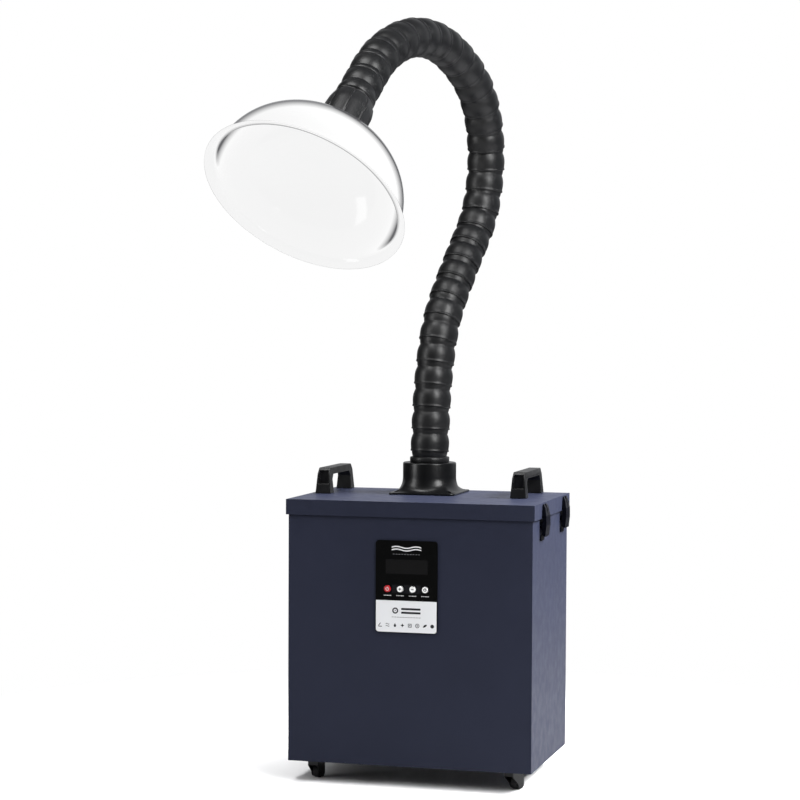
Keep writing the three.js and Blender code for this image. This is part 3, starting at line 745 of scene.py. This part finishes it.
def flange():
    """The glossy foot of the arm: a round tube that flares to a square plate."""
    top_radius, straight, plate, corner, wall = 43, 23, 3, 5, 4
    half = FLANGE_SIDE / 2
    sweep = FLANGE_TALL - plate - straight
    steps = 16
    outer = [
        flange_ring(1, top_radius, half - 0.4, corner, 0),
        flange_ring(1, top_radius, half, corner, 0.5),
        flange_ring(1, top_radius, half, corner, plate - 0.6),
    ]
    for i in range(steps + 1):
        angle = math.pi / 2 * i / steps
        z = plate + sweep * (1 - math.cos(angle))
        outer.append(flange_ring(1 - math.sin(angle), top_radius, half - 0.3, corner, z))
    round_top = 2.2
    for i in range(6):
        angle = math.pi / 2 * i / 5
        outer.append(flange_ring(0, top_radius - round_top * (1 - math.cos(angle)), half, corner,
                                 FLANGE_TALL - round_top + round_top * math.sin(angle)))
    socket = 28.3
    inner = [
        flange_ring(0, socket + 0.6, half, corner, FLANGE_TALL),
        flange_ring(0, socket, half, corner, FLANGE_TALL - 0.6),
        flange_ring(0, socket, half, corner, FLANGE_TALL - wall),
        flange_ring(0, top_radius - wall, half, corner, FLANGE_TALL - wall),
        flange_ring(0, top_radius - wall, half, corner, 0),
    ]
    return piece("flange_casting", skin(outer + inner, closed=True), GLOSS_BLACK, "lid",
                 Matrix.Translation(FLANGE_PLACE), replaces=("arm_flange",), sharp=50)


def drilled(target, cutters):
    """Cuts round wells from a piece; the cutters aren't kept."""
    for cutter in cutters:
        cut = target.modifiers.new("well", "BOOLEAN")
        cut.object = cutter
        cut.solver = "EXACT"
    evaluated = target.evaluated_get(bpy.context.evaluated_depsgraph_get())
    finished = bpy.data.meshes.new_from_object(evaluated)
    target.modifiers.clear()
    target.data = finished
    mark_sharp(finished, 40)
    for cutter in cutters:
        bpy.data.objects.remove(cutter)


def flange_and_screws():
    """The flange with a round well at each corner, and a screw in it."""
    casting = flange()
    reach = FLANGE_SIDE / 2 - 11
    cutters = []
    for sx in (-1, 1):
        for sy in (-1, 1):
            spot = FLANGE_PLACE + Vector((sx * reach, sy * reach, 1.2))
            verts, faces = moved(prism(circle(4.8, 28), 0, 30), Matrix.Translation(spot))
            mesh = bpy.data.meshes.new("cutter")
            mesh.from_pydata([Vector(v) * MM for v in verts], [], faces)
            cutter = bpy.data.objects.new("cutter", mesh)
            bpy.context.scene.collection.objects.link(cutter)
            cutters.append(cutter)
            side = ("left" if sx < 0 else "right") + ("_front" if sy < 0 else "_rear")
            screw("flange_screw_" + side, Matrix.Translation(spot), "lid", 3.4, 1.6, DARK_STEEL)
    bpy.context.view_layer.update()
    drilled(casting, cutters)


flange_and_screws()

# ---------------------------------------------------------------- the arm

ball_centres = [joint_place("arm_joint_%02d" % (i + 1)) for i in range(LINKS)]
ball_centres.append(joint_place("hood_tilt"))


def ball_outline(height, neck, steps=12):
    """A ball end, from the depth of its neck to its bore, as (radius, height)."""
    low = -math.degrees(math.asin(neck / BALL))
    top = math.degrees(math.asin(14.5 / BALL))
    return [*arc(BALL, low, top, steps, height), (BORE + 0.6, height + 14.5), (BORE, height + 14)]


def cup_outline():
    """The inside of a cup about the origin, from its bore to its lip."""
    start = math.degrees(math.acos((BORE + 0.3) / CUP))
    return [*arc(CUP, start, 0, 10), (CUP, -1.1), (CUP + 0.3, -1.5)]


def link_outline():
    """A link: a beaded lip, a barrel that bulges gently, a waist, and the ball for the next link."""
    lip = [(LIP - 0.3, -1.6), (LIP + 0.2, -1.2), (LIP + 0.35, -0.3), (LIP + 0.3, 0.8), (LIP - 0.15, 1.7)]
    barrel = [
        (LIP - 0.2, 3), (LIP + 0.1, 6), (LIP + 0.35, 9.5), (LIP + 0.4, 13), (LIP + 0.15, 16.5),
        (LIP - 0.4, 19.5), (LIP - 1.1, 22), (LIP - 1.9, 24.2), (LIP - 2.7, 26),
    ]
    return [*lip, *barrel, *ball_outline(PITCH, 8.6), *cup_outline()]


def arm_links():
    """Thirty equal links, each from its own ball centre towards the next."""
    geometry = turned(link_outline(), 64)
    for i in range(LINKS):
        start, end = ball_centres[i], ball_centres[i + 1]
        number = "%02d" % (i + 1)
        piece("link_shell_" + number, geometry, ARM_BLACK, "link_" + number,
              along(start, end - start), replaces=("arm_link_" + number,), sharp=45)


arm_links()


def swivel():
    """The turning ring that the arm stands on, with a collar and a bead in the flange's socket."""
    base = ball_centres[0]
    low = corners("swivel_collar")[0].z
    floor = FLANGE_HIGH.z + 0.3
    under = floor - 4.6
    socket = 27.3
    neck = 9.1
    top = base.z - neck - 0.8
    ring = [
        (LIP + 0.7, floor), (LIP + 1.1, floor + 0.5), (LIP + 1.1, top - 1), (LIP + 0.5, top - 0.2),
        (LIP - 0.6, top),
    ]
    outline = [
        (BORE, low), (socket - 0.6, low), (socket - 0.6, under - 7), (socket + 3.4, under - 4),
        (socket + 3.4, under), (socket, under), (socket, floor), *ring, *ball_outline(base.z, neck),
    ]
    piece("swivel_ring", turned(outline, 64), SATIN_BLACK, "arm_base",
          Matrix.Translation((base.x, base.y, 0)), replaces=("swivel_collar",), sharp=45)


swivel()

# ---------------------------------------------------------------- the hood

hood_tip = ball_centres[-1]


def hood_axis():
    """From the last ball to the middle of the hood's mouth: the CAD rim's own plane gives it."""
    dome = frame["nodes"]["hood_dome"].data
    points = [Vector(v.co) / MM for v in dome.vertices]
    middle = sum(points, Vector()) / len(points)
    axis = (middle - hood_tip).normalized()
    for _ in range(8):
        reach = max((p - hood_tip).dot(axis) for p in points)
        rim = [p for p in points if (p - hood_tip).dot(axis) > reach - 2.5]
        axis = (sum(rim, Vector()) / len(rim) - hood_tip).normalized()
    return axis


HOOD_AXIS = hood_axis()
HOOD_PLACE = along(hood_tip, HOOD_AXIS)
APEX = HOOD_REACH - HOOD_RISE


def ribbed(r, z, angle):
    """Eight narrow ribs along the collar's grip."""
    low, high, ribs, tall = 13, APEX - 13, 8, 1.3
    if r < LIP - 3 or not low < z < high:
        return r
    edge = min(1, (z - low) / 3, (high - z) / 3)
    crest = math.cos((angle - 0.2) * ribs)
    return r + tall * max(0, min(1, (crest - 0.93) * 25)) * edge


def hood_collar():
    """A cup for the last ball, a ribbed grip, and a flared seat for the dome and its neck."""
    bore = HOOD_NECK + 0.6
    seat = HOOD_REACH - HOOD_TOP - 0.3
    flare = [
        (LIP + 5.2 + 7.8 * (1 - math.cos(math.pi / 2 * t / 7)), APEX - 14 + 8 * math.sin(math.pi / 2 * t / 7))
        for t in range(8)
    ]
    outer = [
        (LIP - 0.3, -1.6), (LIP + 0.2, -1.2), (LIP + 0.35, -0.3), (LIP + 0.3, 7), (LIP - 0.2, 8.2),
        (LIP - 1.2, 9), (LIP - 1.4, 10.4), (LIP - 0.6, 11.2), (LIP + 0.6, 12.4),
        *[(LIP + 0.9 + 4.3 * math.sin(math.pi / 2 * t / 8), 13 + 22 * t / 8) for t in range(9)],
        (LIP + 5.2, APEX - 15), *flare, (LIP + 12.9, APEX - 4), (LIP + 12, APEX + 4.4),
        (LIP + 11.2, APEX + 4.7),
        (bore, APEX + 2.4), (bore, seat), (HOOD_NECK - HOOD_WALL, seat), (BORE, 32),
    ]
    piece("hood_grip", turned([*outer, *cup_outline()], 288, ribbed), SATIN_BLACK, "hood",
          HOOD_PLACE, replaces=("hood_collar",), sharp=45)


def hood_dome():
    """The dome in smooth arcs, with its flared rim and the neck that plugs into the collar."""
    def wall(inset, steps=28):
        radius = HOOD_DOME - inset
        rise = HOOD_RISE - HOOD_LIP - inset
        last = math.acos((HOOD_NECK - inset) / radius)
        return [
            (radius * math.cos(last * i / steps), HOOD_LIP + rise * math.sin(last * i / steps))
            for i in range(steps + 1)
        ]

    flare = [
        (HOOD_RIM - 1.2, 0), (HOOD_RIM - 0.3, 0.3), (HOOD_RIM, 1.2), (HOOD_RIM - 0.3, 2.3),
        (HOOD_RIM - 1.6, 3.2), (HOOD_RIM - 5, 4.2), (HOOD_DOME + 4, 5.8), (HOOD_DOME + 1.2, 8),
    ]
    inside = [
        (HOOD_DOME - 1.9, 8.4), (HOOD_DOME + 0.4, 5), (HOOD_DOME + 3.4, 2.8), (HOOD_RIM - 6, 1.4),
        (HOOD_RIM - 3, 0.2),
    ]
    neck = [(HOOD_NECK, HOOD_TOP - 0.5), (HOOD_NECK - 0.5, HOOD_TOP), (HOOD_NECK - HOOD_WALL, HOOD_TOP)]
    outline = [*flare, *wall(0), *neck, *wall(HOOD_WALL)[::-1], *inside]
    outline = [(r, HOOD_REACH - up) for r, up in outline]
    piece("hood_shell", turned(outline, 144), HOOD, "hood", HOOD_PLACE,
          replaces=("hood_dome",), sharp=60)


hood_collar()
hood_dome()

# ---------------------------------------------------------------- latches

LATCH_FOOT_Z = 352
LATCH_HOOK_Z = 395.5

for side in ("right", "left"):
    for end in ("front", "rear"):
        name = "latch_%s_%s" % (end, side)
        refine(name, LATCH_BLACK, 1.3, 3)
        low, high = corners(name)
        y = (low.y + high.y) / 2
        sign = 1 if side == "right" else -1
        facing = FACING_RIGHT if sign > 0 else FACING_LEFT
        foot = fillet([(-11, 0), (11, 0), (11, 9), (-11, 9)], 2)
        back = fillet([(-11, 20), (11, 20), (11, 26), (-11, 26)], 2)
        wall_place = Matrix.Translation((sign * HALF_WIDTH, y, LATCH_FOOT_Z)) @ facing
        plates = joined(prism(foot, 0.1, 1.9), prism(back, 0.1, 1.9))  # clear of the lever's swing between them
        piece(name + "_base", plates, LATCH_BLACK, "cabinet", wall_place, bevel=0.4)
        hook = fillet([(-2.2, 0), (2.2, 0), (1.8, 9), (-1.8, 9)], 1)
        hook_place = Matrix.Translation((sign * (HALF_WIDTH + SKIRT), y, LATCH_HOOK_Z)) @ facing
        piece(name + "_hook", prism(hook, 0.1, 4.6), LATCH_BLACK, "lid", hook_place, bevel=0.8)

# ---------------------------------------------------------------- casters


def wheel(corner):
    """A tread over a hub with a shallow dished face and an axle cap on each side."""
    node = "caster_wheel_" + corner
    joint = joints["wheel_%s_roll" % corner]
    spot = Vector(joint["pos_m"]) / MM
    low, high = corners(node)
    radius, half = (high.z - low.z) / 2, 5.5
    outline = [
        (2.7, -half + 0.6), (4, -half + 0.6), (4.3, -half), (5, -half), (5.5, -half + 1),
        (radius - 3, -half + 1), (radius - 2.6, -half + 0.2), (radius - 1.6, -half),
        (radius - 0.4, -half + 0.9), (radius, -half + 2.4),
    ]
    outline = [*outline, *[(r, -z) for r, z in outline[::-1]]]
    piece("wheel_tread_" + corner, turned(outline, 48), TREAD, "wheel_" + corner,
          along(spot, joint["axis"]), replaces=(node,), sharp=40)


for corner in ("front_left", "front_right", "rear_left", "rear_right"):
    refine("caster_fork_" + corner, GLOSS_BLACK, 0.8, 2)
    wheel(corner)

# ---------------------------------------------------------------- camera, floor and light


def camera():
    """The photograph's own angle, from a camera fitted to the cabinet's edges."""
    data = bpy.data.cameras.new("camera")
    data.sensor_width = 36
    data.lens = 104.8
    made = bpy.data.objects.new("camera", data)
    bpy.context.scene.collection.objects.link(made)
    made.location = (0.9438, -3.5814, 0.7059)
    yaw, pitch, roll = math.radians(15.53), math.radians(-2.20), math.radians(0.27)
    level = Matrix.Rotation(yaw, 3, "Z") @ Matrix.Rotation(math.pi / 2 + pitch, 3, "X")
    turn = level @ Matrix.Rotation(roll, 3, "Z")
    made.rotation_mode = "QUATERNION"
    made.rotation_quaternion = turn.to_quaternion()
    data.clip_end = 100
    bpy.context.scene.camera = made


def floor():
    """A pale floor that brightens to plain white away from the object, so that no horizon shows.

    The camera alone sees it that bright: it throws little light back onto the object.
    """
    ground = CAD_BOX[0][2]
    size = 40
    mesh = bpy.data.meshes.new("floor")
    spots = [(x * size, y * size, ground) for x, y in ((-1, -1), (1, -1), (1, 1), (-1, 1))]
    mesh.from_pydata(spots, [], [(0, 1, 2, 3)])
    made = bpy.data.objects.new("floor", mesh)
    bpy.context.scene.collection.objects.link(made)
    pale = surface("pale_floor", (0.86, 0.86, 0.865), 0.8, grain=40, height=0.05, drift=0.01, specular=0.1)
    tree = pale.node_tree
    coords = tree.nodes.new("ShaderNodeTexCoord").outputs["Object"]
    reach = tree.nodes.new("ShaderNodeVectorMath")
    reach.operation = "LENGTH"
    tree.links.new(coords, reach.inputs[0])
    away = tree.nodes.new("ShaderNodeMapRange")
    away.interpolation_type = "SMOOTHSTEP"
    away.inputs["From Min"].default_value = 0.2
    away.inputs["From Max"].default_value = 1.1
    tree.links.new(reach.outputs["Value"], away.inputs["Value"])
    white = tree.nodes.new("ShaderNodeEmission")
    mix = tree.nodes.new("ShaderNodeMixShader")
    seen = tree.nodes.new("ShaderNodeMath")
    seen.operation = "MULTIPLY"
    tree.links.new(away.outputs["Result"], seen.inputs[0])
    path = tree.nodes.new("ShaderNodeLightPath")
    tree.links.new(path.outputs["Is Camera Ray"], seen.inputs[1])
    tree.links.new(seen.outputs["Value"], mix.inputs["Fac"])
    dim = tree.nodes.new("ShaderNodeBsdfDiffuse")
    dim.inputs["Color"].default_value = (0.22, 0.22, 0.225, 1)
    near = tree.nodes.new("ShaderNodeMixShader")
    tree.links.new(path.outputs["Is Camera Ray"], near.inputs["Fac"])
    tree.links.new(dim.outputs["BSDF"], near.inputs[1])
    tree.links.new(tree.nodes["Principled BSDF"].outputs["BSDF"], near.inputs[2])
    tree.links.new(near.outputs["Shader"], mix.inputs[1])
    tree.links.new(white.outputs["Emission"], mix.inputs[2])
    tree.links.new(mix.outputs["Shader"], tree.nodes["Material Output"].inputs["Surface"])
    mesh.materials.append(pale)


def softbox(name, azimuth, distance, height, size, power, aim=0.5, glossy=True):
    """A soft rectangular light, placed round the object by its angle from the front towards the right."""
    data = bpy.data.lights.new(name, "AREA")
    data.shape = "RECTANGLE"
    data.size, data.size_y = size
    data.energy = power
    made = bpy.data.objects.new(name, data)
    bpy.context.scene.collection.objects.link(made)
    angle = math.radians(azimuth)
    made.location = (distance * math.sin(angle), -distance * math.cos(angle), height)
    made.rotation_mode = "QUATERNION"
    made.rotation_quaternion = (Vector((0, 0, aim)) - made.location).to_track_quat("-Z", "Y")
    made.visible_glossy = glossy


def studio():
    """Soft lights from the front, the right, the left and above, in a room whose far wall is white."""
    world = bpy.data.worlds.new("white_backdrop")
    world.use_nodes = True
    tree = world.node_tree
    room = tree.nodes["Background"]
    direction = tree.nodes.new("ShaderNodeSeparateXYZ")
    tree.links.new(tree.nodes.new("ShaderNodeTexCoord").outputs["Generated"], direction.inputs["Vector"])
    behind = tree.nodes.new("ShaderNodeMapRange")
    behind.interpolation_type = "SMOOTHSTEP"
    behind.inputs["From Min"].default_value = 0.3
    behind.inputs["From Max"].default_value = 0.95
    behind.inputs["To Min"].default_value = 0.04
    behind.inputs["To Max"].default_value = 0.58
    tree.links.new(direction.outputs["Y"], behind.inputs["Value"])
    tree.links.new(behind.outputs["Result"], room.inputs["Strength"])
    room.inputs["Color"].default_value = (0.97, 0.98, 1, 1)
    seen = tree.nodes.new("ShaderNodeBackground")
    seen.inputs["Color"].default_value = (1, 1, 1, 1)
    path = tree.nodes.new("ShaderNodeLightPath")
    mix = tree.nodes.new("ShaderNodeMixShader")
    tree.links.new(path.outputs["Is Camera Ray"], mix.inputs["Fac"])
    tree.links.new(room.outputs["Background"], mix.inputs[1])
    tree.links.new(seen.outputs["Background"], mix.inputs[2])
    tree.links.new(mix.outputs["Shader"], tree.nodes["World Output"].inputs["Surface"])
    bpy.context.scene.world = world
    bpy.context.scene.view_settings.view_transform = "Standard"
    softbox("right_strip", 48, 2.2, 1.9, (0.8, 1.8), 60)
    softbox("left_strip", -54, 2.2, 1.2, (0.5, 1.8), 17)
    softbox("front_top", -25, 1.3, 2.9, (1.3, 0.8), 36)
    softbox("right_wash", 98, 1.5, 1.6, (1.0, 0.9), 190, glossy=False)
    softbox("rear_top", 180, 0.7, 2.6, (1.8, 1.4), 80, glossy=False)


camera()
floor()
studio()

low, high = CAD_BOX
